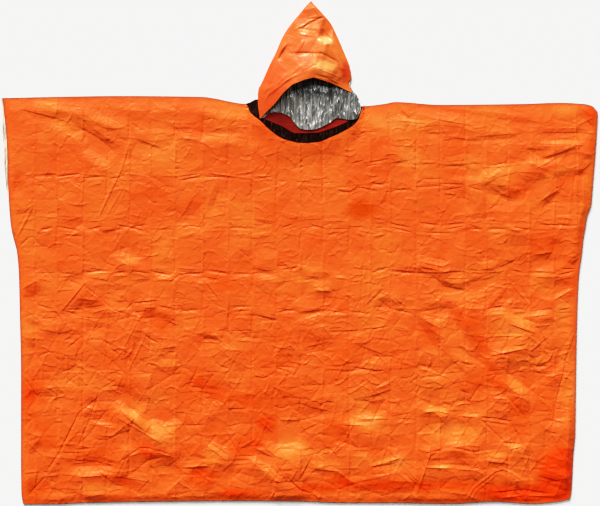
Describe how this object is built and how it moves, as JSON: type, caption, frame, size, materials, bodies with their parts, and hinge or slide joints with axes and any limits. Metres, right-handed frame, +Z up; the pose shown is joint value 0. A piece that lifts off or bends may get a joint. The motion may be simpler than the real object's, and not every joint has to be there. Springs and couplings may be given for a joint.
{
  "type": "heat-reflective poncho",
  "caption": "Hooded heat-reflective poncho of metallised film, orange outside and silver inside, laid flat with open neck, arm sides and hem.",
  "frame": {"origin": "middle of the laid garment's footprint, on the surface it lies on", "axes": "+X across the shoulders, +Y from the hem towards the hood's tip, +Z up out of the front panel"},
  "size_m": [1.49, 1.255, 0.0298],
  "materials": {
    "orange_film": "orange polyethylene film, metallised behind, satin gloss, creased and crumpled",
    "silver_film": "metallised silver side of the same film, finely crinkled"
  },
  "bodies": {
    "root": {"back_panel": "silver_film", "front_panel": "orange_film", "neck_turning": "orange_film", "hood": "orange_film"}
  },
  "joints": []
}
